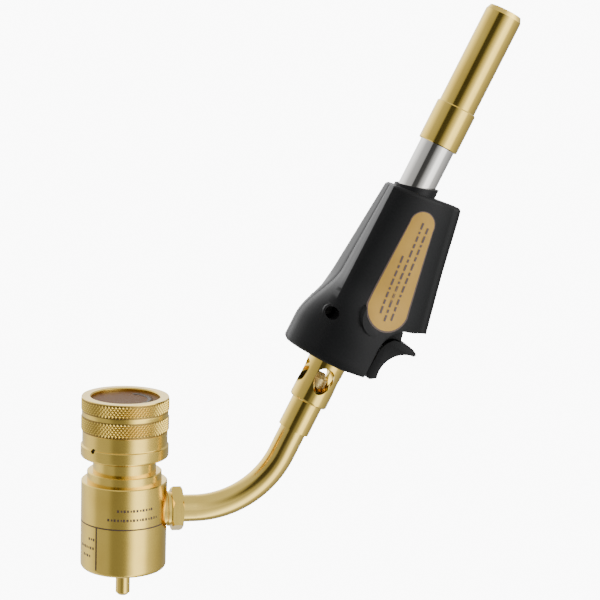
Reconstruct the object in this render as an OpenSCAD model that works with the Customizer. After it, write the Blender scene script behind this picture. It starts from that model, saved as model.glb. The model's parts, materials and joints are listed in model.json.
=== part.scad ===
// Self-igniting gas torch head: regulator with adjusting knob, swivelling bent
// tube, mixer, igniter housing with trigger, and burner.  All sizes in mm.
// Origin: regulator axis, at the bottom rim of the regulator body.
// +Z up through the knob, +X towards the outlet and the bent tube.

/* [Regulator] */
// Outside diameter of the regulator body
body_d = 30; // [28:0.5:32]
// Height of the regulator body
body_h = 31.6; // [30:0.2:34]
// Bore of the socket for the gas cylinder's 1 inch thread
socket_d = 25.4; // [25:0.1:25.6]
// Depth of the cylinder socket
socket_depth = 9.6; // [9:0.1:10]
// Diameter of the inlet probe
probe_d = 5; // [4:0.1:6]
// How far the probe stands out below the rim
probe_out = 10.5; // [8:0.5:12]
// Height of the outlet axis above the rim
outlet_z = 20.3; // [20:0.1:21]

/* [Knob] */
// Diameter over the knurl
knob_d = 30.6; // [29:0.2:32]
// Height of the knob's lower edge at rest, closed
knob_z = 40; // [39.5:0.1:41]
// Height of the knob
knob_h = 21.4; // [20:0.2:22]
// Pitch of the adjusting thread
knob_pitch = 1.25; // [1:0.25:1.5]

/* [Bent tube] */
// Outside diameter of the bent tube
tube_d = 9.53; // [9:0.01:9.6]
// Distance from the regulator axis to the corner of the two straight runs
corner_x = 46.4; // [45:0.1:48]
// Lean of the burner axis from vertical, in degrees
lean = 25.5; // [24:0.5:28]
// Centreline radius of the bend
bend_r = 34; // [30:1:36]

/* [Burner] */
// Outside diameter of the mixer
mixer_d = 13.8; // [13.6:0.1:14.2]
// Diameter of the four air holes
air_d = 6.9; // [6:0.1:7]
// Outside diameter of the steel burn tube
burn_d = 12.7; // [12.6:0.1:12.8]
// Outside diameter of the brass collar
collar_d = 14.5; // [14.3:0.1:15]
// Outside diameter of the brass tip
tip_d = 13.3; // [13.1:0.1:13.5]

/* [Housing] */
// Height of the igniter housing along the burner axis
case_h = 65.2; // [64:0.2:66]
// Radius of the round bell at the bottom
bell_r = 18; // [17.5:0.1:18.5]
// Wall thickness of the shells
wall = 2; // [1.8:0.1:2.2]

/* [Hidden] */
$fn = 64;

// Colours
brass_c = [0.80, 0.66, 0.38];
steel_c = [0.75, 0.74, 0.72];
black_c = [0.09, 0.09, 0.09];
rubber_c = [0.12, 0.12, 0.12];
bronze_c = [0.45, 0.30, 0.14];

eps = 0.01;                  // overshoot of a cut past the face it opens
run_gap = 0.04;              // radial running clearance
// Inside the regulator, heights above the rim
bore_r = 3.4;                // centre bore for probe shank, filter, valve
shank_top = 12.4;
filter_top = 13.2;
poppet_z = 15;
seat_z = 16.4;
chamber_z = 17.9;
chamber_r = 9.5;
ledge_z = 25.8;
skirt_r = 12.2;              // bonnet skirt in the body
diaphragm_t = 0.6;
plate_z = ledge_z + diaphragm_t;
plate_t = 1;
bonnet_r = 13;
bonnet_top = 35;
neck_r = 11;
neck_top = 46;
spring_bore_r = 7.7;
stem_r = 4;
spring_top = 37.2;
button_t = 1.6;
pin_z = 44.2;
pin_angle = 218;             // direction of the knob pin, from +X
knob_travel = 3 * knob_pitch;
// Outlet, distances along X from the regulator axis
spot_x = 13.4;
nipple_out = 18.6;
nut_x0 = 16.5;
nut_x1 = 20.4;
ring_r = 6.15;
thread_r = 6;
tube_r = tube_d / 2;
tube_start = 13.6;
tube_bore_r = 3.9;
// Burner line, distances from the corner along the burner axis
bend_run = bend_r * tan((90 - lean) / 2);
tube_end = 37.6;
bend_lap = 0.3;                // how far the straight runs reach into the bend
bend_neck = 0.01;
sleeve_s = 30.9;
sleeve_r = 5.65;
mixer_s = 42;
mixer_web = 3.4;
mixer_end = 67;
mixer_bore_r = 5.2;
air_s = 51.3;
jet_r = 3;
burn_s = 59.5;
burn_r = burn_d / 2;
burn_bore_r = 5.55;
case_s = 58.8;
collar_s = 143;
collar_top = 157.8;
tip_s = 152;
spigot_r = tip_d / 2 - 0.15;   // the tip's end inside the collar
tip_top = 195;
tip_bore_r = 5.75;
burn_top = collar_s + 6.6;
// Trigger and piezo line: origin on the housing's mid plane, leaning forward
slide_v = 17;
slide_u = 14;
slide_lean = -12;

// ---- Frames ----
module outlet_frame() translate([0, 0, outlet_z]) rotate([0, 90, 0]) children();
module burner_frame() translate([corner_x, 0, outlet_z]) rotate([0, lean, 0]) children();
module case_frame() burner_frame() translate([0, 0, case_s]) children();
module slide_frame()
    case_frame() translate([slide_v, 0, slide_u]) rotate([0, slide_lean, 0]) children();

// A round tube along Z from z0 to z1
module ring(r_out, r_in, z0, z1)
    translate([0, 0, z0]) difference() {
        cylinder(r = r_out, h = z1 - z0);
        translate([0, 0, -eps]) cylinder(r = r_in, h = z1 - z0 + 2 * eps);
    }

// A coil of round wire along Z, swept as one closed tube with square-cut ends
module coil(mean_r, wire_r, z0, z1, turns) {
    sides = 8;
    steps = 14 * turns;
    rise = z1 - z0 - 2 * wire_r;
    points = [for (i = [0 : steps]) for (j = [0 : sides - 1])
        let (a = 360 * turns * i / steps, b = 360 * j / sides,
             r = mean_r + wire_r * cos(b))
        [r * cos(a), r * sin(a), z0 + wire_r + rise * i / steps + wire_r * sin(b)]];
    start_cap = [[for (j = [0 : sides - 1]) j]];
    end_cap = [[for (j = [sides - 1 : -1 : 0]) steps * sides + j]];
    skin = [for (i = [0 : steps - 1]) for (j = [0 : sides - 1])
        let (k = (j + 1) % sides)
        [i * sides + j, (i + 1) * sides + j, (i + 1) * sides + k, i * sides + k]];
    polyhedron(points, concat(start_cap, end_cap, skin), convexity = 10);
}

// ---- Regulator ----
module regulator_body() color(brass_c) difference() {
    rotate_extrude() polygon(concat(
        [[0, 0]],
        [for (a = [0 : 15 : 90])
            [body_d / 2 - 1.6 + 1.6 * sin(a), 1.6 - 1.6 * cos(a)]],
        [[body_d / 2, body_h - 0.3], [body_d / 2 - 0.3, body_h], [0, body_h]]));
    translate([0, 0, -eps]) cylinder(d = socket_d, h = socket_depth + eps);
    translate([0, 0, -eps]) cylinder(r1 = socket_d / 2 + 0.6, r2 = socket_d / 2, h = 0.6);
    cylinder(r = bore_r, h = chamber_z + 1);
    translate([0, 0, chamber_z]) cylinder(r = chamber_r, h = ledge_z);
    translate([0, 0, ledge_z]) cylinder(r = skirt_r, h = body_h);
    outlet_frame() translate([0, 0, 8]) cylinder(r = 4.4, h = 10);
    outlet_frame() translate([0, 0, spot_x]) cylinder(r = ring_r + 0.25, h = 5);
    // Engraved line round the near side, and the short line down from it
    translate([0, 0, 17.25]) rotate_extrude(angle = 148, start = 178)
        translate([body_d / 2 - 0.25, 0]) square([1, 0.5]);
    rotate([0, 0, 225]) translate([body_d / 2 - 0.25, -0.35, 2])
        cube([1, 0.7, 15.4]);
}

module inlet_probe() color(brass_c) difference() {
    union() {
        cylinder(r = bore_r, h = shank_top);
        translate([0, 0, socket_depth - 2]) cylinder(r = 6, h = 2);
        rotate_extrude() polygon([[0, -probe_out], [probe_d / 2 - 0.9, -probe_out],
            [probe_d / 2, 0.9 - probe_out], [probe_d / 2, 8], [0, 8]]);
    }
    translate([0, 0, -probe_out - eps]) cylinder(r = 0.8, h = 30);
    // The shank is narrower than the flange only above the socket floor
    translate([0, 0, -eps]) ring(bore_r + eps, probe_d / 2, 0, socket_depth - 2);
}

module socket_seal() color(rubber_c) ring(11, 6.15, socket_depth - 1.4, socket_depth);
module inlet_filter() color(bronze_c)
    translate([0, 0, shank_top]) cylinder(r = bore_r, h = filter_top - shank_top);
module valve_seat() color(brass_c) ring(bore_r, 1.1, seat_z, chamber_z);

module valve_poppet() color(steel_c) union() {
    translate([0, 0, poppet_z]) cylinder(r = 2.2, h = 0.9);
    translate([0, 0, poppet_z + 0.9]) cylinder(r1 = 2.2, r2 = 1.2, h = 0.45);
    translate([0, 0, poppet_z]) cylinder(r = 0.6, h = ledge_z - poppet_z - 0.05);
}

module poppet_spring() color(steel_c) coil(1.9, 0.2, filter_top, poppet_z, 3);
module diaphragm() color(rubber_c)
    translate([0, 0, ledge_z]) cylinder(r = skirt_r, h = diaphragm_t);
module diaphragm_plate() color(steel_c) union() {
    translate([0, 0, plate_z]) cylinder(r = 7.3, h = plate_t);
    translate([0, 0, plate_z]) cylinder(r = 4.6, h = plate_t + 1);
}

module bonnet() color(brass_c) difference() {
    rotate_extrude() polygon([[0, plate_z], [skirt_r, plate_z], [skirt_r, body_h],
        [bonnet_r, body_h], [bonnet_r, bonnet_top - 0.3], [bonnet_r - 0.3, bonnet_top],
        [neck_r, bonnet_top], [neck_r, neck_top - 0.5], [neck_r - 0.5, neck_top],
        [0, neck_top]]);
    translate([0, 0, plate_z - eps]) cylinder(r = spring_bore_r, h = 41 - plate_z);
    cylinder(r = stem_r + run_gap, h = 60);
    // Groove for the knob's pin
    ring(neck_r + 1, 9.8, pin_z - knob_travel - 1.6, pin_z + 1.2);
}

module regulating_spring() color(steel_c)
    coil(6.2, 0.7, plate_z + plate_t, spring_top, 5);

module spring_button() color(steel_c) union() {
    translate([0, 0, spring_top]) cylinder(r = 7.4, h = button_t);
    translate([0, 0, spring_top - 1.5]) cylinder(r = 4.6, h = 2);
}

// ---- Knob ----
module knob_stem() color(steel_c) union() {
    translate([0, 0, spring_top + button_t]) cylinder(r1 = 2.4, r2 = stem_r, h = 1.6);
    translate([0, 0, spring_top + button_t + 1.6]) cylinder(r = stem_r, h = 15.6);
}

module knob() color(brass_c) difference() {
    kr = knob_d / 2;
    top = knob_z + knob_h;
    rotate_extrude() polygon(concat(
        [[0, knob_z]],
        [for (a = [0 : 18 : 90]) [kr - 1 + sin(a), knob_z + 1 - cos(a)]],
        [[kr, knob_z + 4.2], [kr - 0.5, knob_z + 4.6], [kr - 0.5, knob_z + 9.4],
         [kr, knob_z + 9.5], [kr, knob_z + 14.95], [kr - 0.3, knob_z + 15.1],
         [kr - 0.3, knob_z + 16.25], [kr, knob_z + 16.4], [kr, top - 0.3],
         [kr - 0.3, top], [0, top]]));
    // Skirt over the bonnet neck
    translate([0, 0, knob_z - eps]) cylinder(r = neck_r + 0.3, h = 10.5);
    translate([0, 0, knob_z]) cylinder(r = stem_r, h = 16);
    // Dish in the top
    translate([0, 0, top - 2]) cylinder(r = 11.9, h = 3);
    translate([0, 0, top - 0.3]) cylinder(r1 = 11.9, r2 = 12.3, h = 0.31);
    rotate([0, 0, pin_angle]) translate([0, 0, pin_z]) rotate([0, 90, 0])
        cylinder(r = 0.8, h = 20);
}

module knob_dial() color(bronze_c)
    translate([0, 0, knob_z + knob_h - 2]) cylinder(r = 11.85, h = 0.8);

module knob_pin() color(steel_c)
    rotate([0, 0, pin_angle]) translate([0, 0, pin_z]) rotate([0, 90, 0])
        translate([0, 0, 10]) cylinder(r = 0.8, h = 4.6);

// ---- Outlet and swivel ----
module outlet_nipple() color(brass_c) outlet_frame() difference() {
    rotate_extrude() polygon([[0, 9.8], [4.4, 9.8], [4.4, spot_x], [ring_r, spot_x],
        [ring_r, 14.5], [ring_r - 0.4, 14.7], [ring_r - 0.4, 15], [ring_r, 15.2],
        [ring_r, nut_x0 - 0.4], [thread_r - 0.2, nut_x0 - 0.4],
        [thread_r - 0.2, nut_x0], [thread_r, nut_x0], [thread_r, nipple_out],
        [0, nipple_out]]);
    translate([0, 0, 9]) cylinder(r = 2.4, h = 8);
    translate([0, 0, tube_start - 0.2]) cylinder(r = tube_r + run_gap, h = 8);
    translate([0, 0, 15.8]) cylinder(r = 5.45, h = 8);
}

module swivel_seal() color(rubber_c) outlet_frame()
    ring(5.42, tube_r + run_gap, 17.25, 18.5);

module union_nut() color(brass_c) outlet_frame() difference() {
    intersection() {
        translate([0, 0, nut_x0])
            cylinder(r = 7 / cos(30), h = nut_x1 - nut_x0, $fn = 6);
        rotate_extrude() polygon([[0, nut_x0], [7.3, nut_x0], [8.2, nut_x0 + 0.7],
            [8.2, nut_x1 - 0.7], [7.3, nut_x1], [0, nut_x1]]);
    }
    translate([0, 0, nut_x0 - eps]) cylinder(r = thread_r, h = 2.5);
    cylinder(r = tube_r + run_gap, h = 30);
}

module swivel_collar() color(brass_c) outlet_frame()
    ring(5.35, tube_r, 16, 17.15);

// Two straight runs and the bend between them, all hollow
// The bend necks in by a hair where it leaves the straight runs, as drawn tube does
module tube_form(r, past) {
    outlet_frame() translate([0, 0, tube_start - past])
        cylinder(r = r, h = corner_x - bend_run - tube_start + bend_lap + past);
    translate([corner_x - bend_run, 0, outlet_z + bend_r]) rotate([90, 0, 0])
        rotate([0, 0, -90]) rotate_extrude(angle = 90 - lean)
            translate([bend_r, 0]) circle(r = r - bend_neck);
    burner_frame() translate([0, 0, bend_run - bend_lap])
        cylinder(r = r, h = tube_end - bend_run + bend_lap + past);
}
module bent_tube() color(brass_c) difference() {
    union() tube_form(tube_r, 0);
    union() tube_form(tube_bore_r, 1);
}

// ---- Burner line ----
module orifice_sleeve() color(brass_c) burner_frame() union() {
    ring(sleeve_r, tube_r, sleeve_s, tube_end);
    ring(sleeve_r, jet_r, tube_end, mixer_s);
}

module jet_nozzle() color(brass_c) burner_frame() difference() {
    union() {
        translate([0, 0, tube_end + 0.6]) cylinder(r = jet_r, h = 13.4);
        translate([0, 0, tube_end + 14]) cylinder(r1 = 2.4, r2 = 1.3, h = 2);
    }
    translate([0, 0, tube_end]) cylinder(r = 1.1, h = 14);
    translate([0, 0, tube_end]) cylinder(r = 0.3, h = 20);
}

module mixer_body() color(brass_c) burner_frame() difference() {
    rotate_extrude() polygon(concat(
        [[0, mixer_s]],
        [for (a = [0 : 18 : 90])
            [mixer_d / 2 - 0.9 + 0.9 * sin(a), mixer_s + 0.9 - 0.9 * cos(a)]],
        [[mixer_d / 2, mixer_end], [0, mixer_end]]));
    cylinder(r = jet_r, h = mixer_s + mixer_web + 1);
    translate([0, 0, mixer_s + mixer_web]) cylinder(r = mixer_bore_r, h = 30);
    translate([0, 0, burn_s]) cylinder(r = burn_r, h = 10);
    for (a = [0 : 90 : 270]) rotate([0, 0, a])
        translate([mixer_d / 2, 0, air_s]) rotate([0, -45, 0])
            translate([0, 0, -8]) cylinder(d = air_d, h = 12.4);
}

module burn_tube() color(steel_c) burner_frame() difference() {
    ring(burn_r, burn_bore_r, burn_s, burn_top);
    // Hole for the ignition lead, facing the piezo
    translate([0, 0, case_s + 54.6]) rotate([0, 90, 0]) cylinder(r = 1.2, h = 10);
}

module burner_collar() color(brass_c) burner_frame() difference() {
    rotate_extrude() polygon([[0, collar_s], [collar_d / 2 - 0.3, collar_s],
        [collar_d / 2, collar_s + 0.3], [collar_d / 2, collar_top - 0.4],
        [collar_d / 2 - 0.4, collar_top], [0, collar_top]]);
    translate([0, 0, collar_s - eps]) cylinder(r = burn_r, h = burn_top - collar_s + eps);
    cylinder(r = 4.6, h = tip_s + 1);
    translate([0, 0, tip_s]) cylinder(r = spigot_r, h = 10);
}

module burner_tip() color(brass_c) burner_frame() difference() {
    rotate_extrude() polygon([[0, tip_s], [spigot_r, tip_s], [spigot_r, collar_top],
        [tip_d / 2, collar_top], [tip_d / 2, tip_top - 1.8],
        [tip_d / 2 - 0.8, tip_top], [0, tip_top]]);
    translate([0, 0, tip_s - 1]) cylinder(r = tip_bore_r, h = 50);
}

module flame_holder() color(brass_c) burner_frame() difference() {
    translate([0, 0, 162]) cylinder(r = tip_bore_r, h = 5);
    // Middle hole, which the electrode passes
    translate([0, 0, 161]) cylinder(r = 2.4, h = 7);
    for (a = [30 : 60 : 330]) rotate([0, 0, a]) translate([3.9, 0, 161])
        cylinder(r = 0.9, h = 7);
}

// ---- Ignition ----
lead_y = 1.8;                // electrode's distance from the burner axis
insulator_s = 139;
module electrode_insulator() color([0.9, 0.88, 0.84]) burner_frame()
    translate([0, lead_y, 0]) ring(1.2, 0.45, insulator_s, 160);

module spark_electrode() color(steel_c) burner_frame() translate([0, lead_y, 0])
    translate([0, 0, insulator_s - 2]) cylinder(r = 0.4, h = 176 - insulator_s);

// Lead: from the piezo's top, through the hole in the burn tube, up to the electrode
lead_path = [[10.2, 0, 46.2], [10.1, 0, 49], [9.4, 0, 52], [7.8, 0, 54.2],
    [5.4, 0, 54.6], [3, 0.6, 55.8], [1, 1.3, 58.6], [0, 1.8, 63], [0, 1.8, 70],
    [0, 1.8, 78.1]];
function unit(v) = v / norm(v);
function along(p, i) = unit(p[min(i + 1, len(p) - 1)] - p[max(i - 1, 0)]);
module swept(p, r) {
    sides = 8;
    rings = [for (i = [0 : len(p) - 1])
        let (t = along(p, i), b = unit(cross(t, [0, 1, 0])), n = cross(b, t))
        for (j = [0 : sides - 1])
            p[i] + r * (cos(360 * j / sides) * b + sin(360 * j / sides) * n)];
    last = (len(p) - 1) * sides;
    polyhedron(rings, concat(
        [[for (j = [sides - 1 : -1 : 0]) j]],
        [[for (j = [0 : sides - 1]) last + j]],
        [for (i = [0 : len(p) - 2]) for (j = [0 : sides - 1])
            let (k = (j + 1) % sides)
            [i * sides + j, i * sides + k, (i + 1) * sides + k, (i + 1) * sides + j]]));
}
module ignition_lead() color(rubber_c) case_frame() swept(lead_path, 0.8);

// ---- Igniter housing ----
// A wedge with a flat back, wide at the bottom, that grows out of a round bell.
// Outline of the wedge at height u, inset by g: middle of the back to the front, y > 0
function mix(a, b, t) = a + (b - a) * t;
function half_outline(u, g) = let (t = u / case_h,
        vb = mix(-12.3, -9.1, t) + g, wb = mix(14.8, 6, t) - g * 0.8,
        ws = mix(17.2, 8.7, t) - g, vf = mix(29, 15.4, t) - g, wf = mix(11.5, 6, t) - g)
    [[vb, wb], [vb + 6, mix(wb, ws, 0.8)], [mix(vb, vf, 0.45), ws],
     [mix(vb, vf, 0.72), mix(ws, wf, 0.4)], [vf - 2, wf], [vf, wf - 2]];
function outline(u, g) = let (h = half_outline(u, g), n = len(h))
    concat(h, [for (i = [n - 1 : -1 : 0]) [h[i][0], -h[i][1]]]);
nose_r = 7.6;

module wedge(g) {
    count = len(outline(0, 0));
    polyhedron([for (u = [g, case_h - g]) for (p = outline(u, g)) [p[0], p[1], u]],
        concat([[for (j = [count - 1 : -1 : 0]) j]],
            [[for (j = [0 : count - 1]) count + j]],
            [for (j = [0 : count - 1]) let (k = (j + 1) % count)
                [j, count + k, count + j]],
            [for (j = [0 : count - 1]) let (k = (j + 1) % count)
                [j, k, count + k]]));
}

module case_solid(g) union() {
    wedge(g);
    translate([0, 0, g]) cylinder(r = bell_r - g, h = 13 - g);
    translate([0, 0, 13]) cylinder(r1 = bell_r - g, r2 = 12.5 - g, h = 16);
}

// The opening at the lower front that the trigger works in
module trigger_opening() rotate([90, 0, 0]) translate([0, 0, -30]) linear_extrude(60)
    polygon(concat([[11.6, -5], [11.3, 3], [11.4, 11]],
        [for (a = [170 : -15 : 110]) [21 + 9.6 * cos(a), 11.8 + 9.6 * sin(a)]],
        [[20.6, 22.2], [24.2, 23.6], [40, 23.6], [40, -5]]));

// Screws: distance in front of the burner axis, height, and half length of the post
near = 1;
far = -1;
screw_spots = [[-10.6, 16.3, 12.6, near], [11.4, 57, 6.2, far]];

module case_outer() union() {
    case_solid(0);
    // Nose round the burn tube
    translate([0, 0, case_h - 6]) cylinder(r = nose_r, h = 10.4);
}

module case_shell() difference() {
    union() {
        difference() {
            case_outer();
            case_solid(wall);
        }
        // Screw posts
        for (s = screw_spots) translate([s[0], s[2], s[1]]) rotate([90, 0, 0])
            cylinder(r = 2.9, h = 2 * s[2], $fn = 24);
        // Seat round the mixer at the bottom
        translate([0, 0, 1]) cylinder(r = 9.4, h = 6);
    }
    translate([0, 0, -1]) cylinder(r = mixer_d / 2 + 0.05, h = 12);
    translate([0, 0, 8]) cylinder(r = burn_r + 0.05, h = 70);
    trigger_opening();
}

// One shell's share of the screw holes: head recess and clearance, or a pilot hole
module screw_holes(side)
    for (s = screw_spots) translate([s[0], 0, s[1]]) rotate([90 * side, 0, 0])
        if (s[3] == side) {
            translate([0, 0, -1]) cylinder(r = 1.3, h = 30);
            translate([0, 0, 4]) cylinder(r = 2.2, h = 30);
        } else translate([0, 0, -6]) cylinder(r = 1.05, h = 12);

module housing_near() color(black_c) case_frame() difference() {
    case_shell();
    translate([-50, 0, -20]) cube([100, 50, 120]);
    screw_holes(near);
}

module housing_far() color(black_c) case_frame() difference() {
    case_shell();
    translate([-50, -50, -20]) cube([100, 50, 120]);
    screw_holes(far);
}

module housing_screws() color(steel_c) case_frame()
    for (s = screw_spots) translate([s[0], 0, s[1]]) rotate([90 * s[3], 0, 0])
        difference() {
        union() {
            translate([0, 0, -5.5]) cylinder(r = 1.05, h = 9.6);
            translate([0, 0, 4]) cylinder(r = 2, h = 1.5);
        }
        for (a = [0, 90]) rotate([0, 0, a]) translate([-1.2, -0.25, 4.8])
            cube([2.4, 0.5, 2]);
    }

// ---- Trigger ----
trigger_w = 12.4;
module trigger() color(black_c) case_frame() union() {
    rotate([90, 0, 0]) translate([0, 0, -trigger_w / 2]) linear_extrude(trigger_w)
        polygon(concat(
            [[13.3, 2.1]],
            [for (a = [180 : -15 : 105]) [22.2 + 8.9 * cos(a), 9.4 + 8.9 * sin(a)]],
            [[22.2, 17.3], [23.4, 16.4], [24.3, 14.9], [23.8, 13.9]],
            [for (a = [110 : 12 : 194]) [25.8 + 9.7 * cos(a), 4.9 + 9.7 * sin(a)]],
            [[15.4, 1.5], [14.2, 1.3]]));
    translate([slide_v, 0, slide_u]) rotate([0, slide_lean, 0])
        translate([-3.4, -3.4, -3]) cube([6.8, 6.8, 8.6]);
}

module piezo_plunger() color([0.85, 0.82, 0.75]) slide_frame()
    translate([0, 0, 5.6]) cylinder(r = 2.5, h = 14);

module trigger_spring() color(steel_c) slide_frame() coil(3.2, 0.3, 5.7, 12, 5);

module piezo_case() color([0.16, 0.16, 0.18]) slide_frame() difference() {
    translate([-3.7, -3.7, 12]) cube([7.4, 7.4, 20]);
    translate([0, 0, 11]) cylinder(r = 2.5 + run_gap, h = 14);
}

regulator_body();
inlet_probe();
socket_seal();
inlet_filter();
valve_seat();
valve_poppet();
poppet_spring();
diaphragm();
diaphragm_plate();
bonnet();
regulating_spring();
spring_button();
knob_stem();
knob();
knob_dial();
knob_pin();
outlet_nipple();
swivel_seal();
union_nut();
bent_tube();
swivel_collar();
orifice_sleeve();
jet_nozzle();
mixer_body();
burn_tube();
burner_collar();
burner_tip();
flame_holder();
electrode_insulator();
spark_electrode();
ignition_lead();
housing_near();
housing_far();
housing_screws();
trigger();
trigger_spring();
piezo_case();
piezo_plunger();
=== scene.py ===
import json
import math

import bmesh
import bpy
from mathutils import Matrix, Vector
from mathutils.bvhtree import BVHTree


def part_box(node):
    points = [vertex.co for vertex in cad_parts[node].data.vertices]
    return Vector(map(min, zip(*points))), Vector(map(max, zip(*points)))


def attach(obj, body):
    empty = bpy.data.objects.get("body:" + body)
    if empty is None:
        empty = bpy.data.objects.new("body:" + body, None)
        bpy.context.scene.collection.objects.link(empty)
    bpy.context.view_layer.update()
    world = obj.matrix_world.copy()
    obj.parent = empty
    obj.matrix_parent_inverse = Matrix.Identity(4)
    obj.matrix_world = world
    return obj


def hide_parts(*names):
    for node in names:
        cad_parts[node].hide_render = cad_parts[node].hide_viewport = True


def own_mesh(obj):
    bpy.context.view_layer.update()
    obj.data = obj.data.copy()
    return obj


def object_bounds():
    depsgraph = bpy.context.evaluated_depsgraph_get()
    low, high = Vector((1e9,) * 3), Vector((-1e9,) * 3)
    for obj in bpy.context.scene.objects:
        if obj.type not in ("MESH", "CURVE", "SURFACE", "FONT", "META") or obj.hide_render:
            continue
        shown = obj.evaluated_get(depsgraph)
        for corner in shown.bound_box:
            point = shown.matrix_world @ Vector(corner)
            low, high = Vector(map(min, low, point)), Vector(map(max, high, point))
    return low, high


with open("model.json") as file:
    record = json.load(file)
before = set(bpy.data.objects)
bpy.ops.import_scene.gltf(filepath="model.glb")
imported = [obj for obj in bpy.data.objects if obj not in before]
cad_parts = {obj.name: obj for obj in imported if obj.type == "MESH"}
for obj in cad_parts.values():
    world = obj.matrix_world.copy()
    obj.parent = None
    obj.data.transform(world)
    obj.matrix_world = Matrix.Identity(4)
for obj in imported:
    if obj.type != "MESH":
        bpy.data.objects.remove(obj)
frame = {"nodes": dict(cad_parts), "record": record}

cad_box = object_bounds()
nodes = frame["nodes"]

# ---- Camera ----
# A long lens, a little above the torch and a little to the regulator's side.  It is
# rolled by under two degrees, as a hand-held camera is.
VIEW_AZIMUTH = math.radians(12.0)
VIEW_ELEVATION = math.radians(10.35)
VIEW_ROLL = math.radians(1.85)
VIEW_TARGET = Vector((0.060, 0.0, 0.095))
VIEW_DISTANCE = 0.6323
VIEW_SHIFT_MM = (0.6, -0.3)

to_camera = Vector((-math.sin(VIEW_AZIMUTH) * math.cos(VIEW_ELEVATION),
                    -math.cos(VIEW_AZIMUTH) * math.cos(VIEW_ELEVATION),
                    math.sin(VIEW_ELEVATION)))
level_right = (-to_camera).cross(Vector((0, 0, 1))).normalized()
level_up = level_right.cross(-to_camera)
view_right = level_right * math.cos(VIEW_ROLL) + level_up * math.sin(VIEW_ROLL)
view_up = -level_right * math.sin(VIEW_ROLL) + level_up * math.cos(VIEW_ROLL)
camera_data = bpy.data.cameras.new("camera")
camera_data.lens = 108.5
camera_data.sensor_width = 36.0
camera_data.clip_start = 0.01
camera = bpy.data.objects.new("camera", camera_data)
bpy.context.collection.objects.link(camera)
turned = Matrix((view_right, view_up, to_camera)).transposed().to_4x4()
place = (VIEW_TARGET + to_camera * VIEW_DISTANCE + view_right * VIEW_SHIFT_MM[0] / 1000
         + view_up * VIEW_SHIFT_MM[1] / 1000)
camera.matrix_world = Matrix.Translation(place) @ turned
bpy.context.scene.camera = camera

# ---- Studio ----
# A pale sweep lit from all round, with three large soft boxes.  The room behind the
# camera is dim, which draws the dark band down every polished tube.
world = bpy.data.worlds.new("studio")
bpy.context.scene.world = world
world.use_nodes = True
sky = world.node_tree
sky.nodes.clear()
out = sky.nodes.new("ShaderNodeOutputWorld")
room = sky.nodes.new("ShaderNodeBackground")
plain = sky.nodes.new("ShaderNodeBackground")
SWEEP_GLOW = 10.0                             # what the camera sees behind the torch
plain.inputs["Color"].default_value = (1, 1, 1, 1)
plain.inputs["Strength"].default_value = SWEEP_GLOW
pick = sky.nodes.new("ShaderNodeMixShader")
path = sky.nodes.new("ShaderNodeLightPath")
sky.links.new(path.outputs["Is Camera Ray"], pick.inputs[0])
sky.links.new(room.outputs[0], pick.inputs[1])
sky.links.new(plain.outputs[0], pick.inputs[2])
sky.links.new(pick.outputs[0], out.inputs[0])
ray = sky.nodes.new("ShaderNodeTexCoord")
turn = sky.nodes.new("ShaderNodeMapping")
turn.vector_type = "VECTOR"
# Angles round the room are counted from the camera's side of it
turn.inputs["Rotation"].default_value = (0, 0, VIEW_AZIMUTH + math.pi / 2)
sky.links.new(ray.outputs["Generated"], turn.inputs["Vector"])
split = sky.nodes.new("ShaderNodeSeparateXYZ")
sky.links.new(turn.outputs["Vector"], split.inputs[0])
angle = sky.nodes.new("ShaderNodeMath")
angle.operation = "ARCTAN2"
sky.links.new(split.outputs["Y"], angle.inputs[0])
sky.links.new(split.outputs["X"], angle.inputs[1])
share = sky.nodes.new("ShaderNodeMapRange")
share.inputs["From Min"].default_value = -math.pi
share.inputs["From Max"].default_value = math.pi
sky.links.new(angle.outputs[0], share.inputs["Value"])
# Brightness round the room, by degrees to the right of the camera: near the floor,
# and from about eye level up, where a dark screen stands by the camera
ROOM_LOW = [(-180, 1.0), (-132, 1.1), (-106, 1.45), (-84, 1.2), (-72, 0.62), (-36, 0.60),
            (-26, 0.30), (4, 0.33), (14, 0.42), (24, 1.3), (36, 3.4), (60, 3.0), (74, 1.0),
            (104, 0.62), (130, 0.42), (180, 0.50)]
ROOM_HIGH = [(-180, 2.4), (-125, 2.4), (-104, 1.7), (-76, 0.72), (-36, 0.50), (-30, 0.06),
             (-6, 0.08), (6, 0.45), (22, 1.3), (36, 3.0), (52, 5.0), (78, 4.4), (104, 1.7),
             (135, 0.8), (180, 0.7)]
heights = []
for levels in (ROOM_LOW, ROOM_HIGH):
    bands = sky.nodes.new("ShaderNodeValToRGB")
    sky.links.new(share.outputs[0], bands.inputs[0])
    ramp = bands.color_ramp
    for degrees, level in levels[1:-1]:
        ramp.elements.new((degrees + 180) / 360)
    for element, (degrees, level) in zip(ramp.elements, levels):
        element.position = (degrees + 180) / 360
        element.color = (level, level, level, 1)
    heights.append(bands)
rise = sky.nodes.new("ShaderNodeMapRange")
rise.inputs["From Min"].default_value = -0.14
rise.inputs["From Max"].default_value = 0.02
sky.links.new(split.outputs["Z"], rise.inputs["Value"])
walls = sky.nodes.new("ShaderNodeMix")
walls.data_type = "RGBA"
sky.links.new(rise.outputs[0], walls.inputs["Factor"])
sky.links.new(heights[0].outputs[0], walls.inputs["A"])
sky.links.new(heights[1].outputs[0], walls.inputs["B"])
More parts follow.
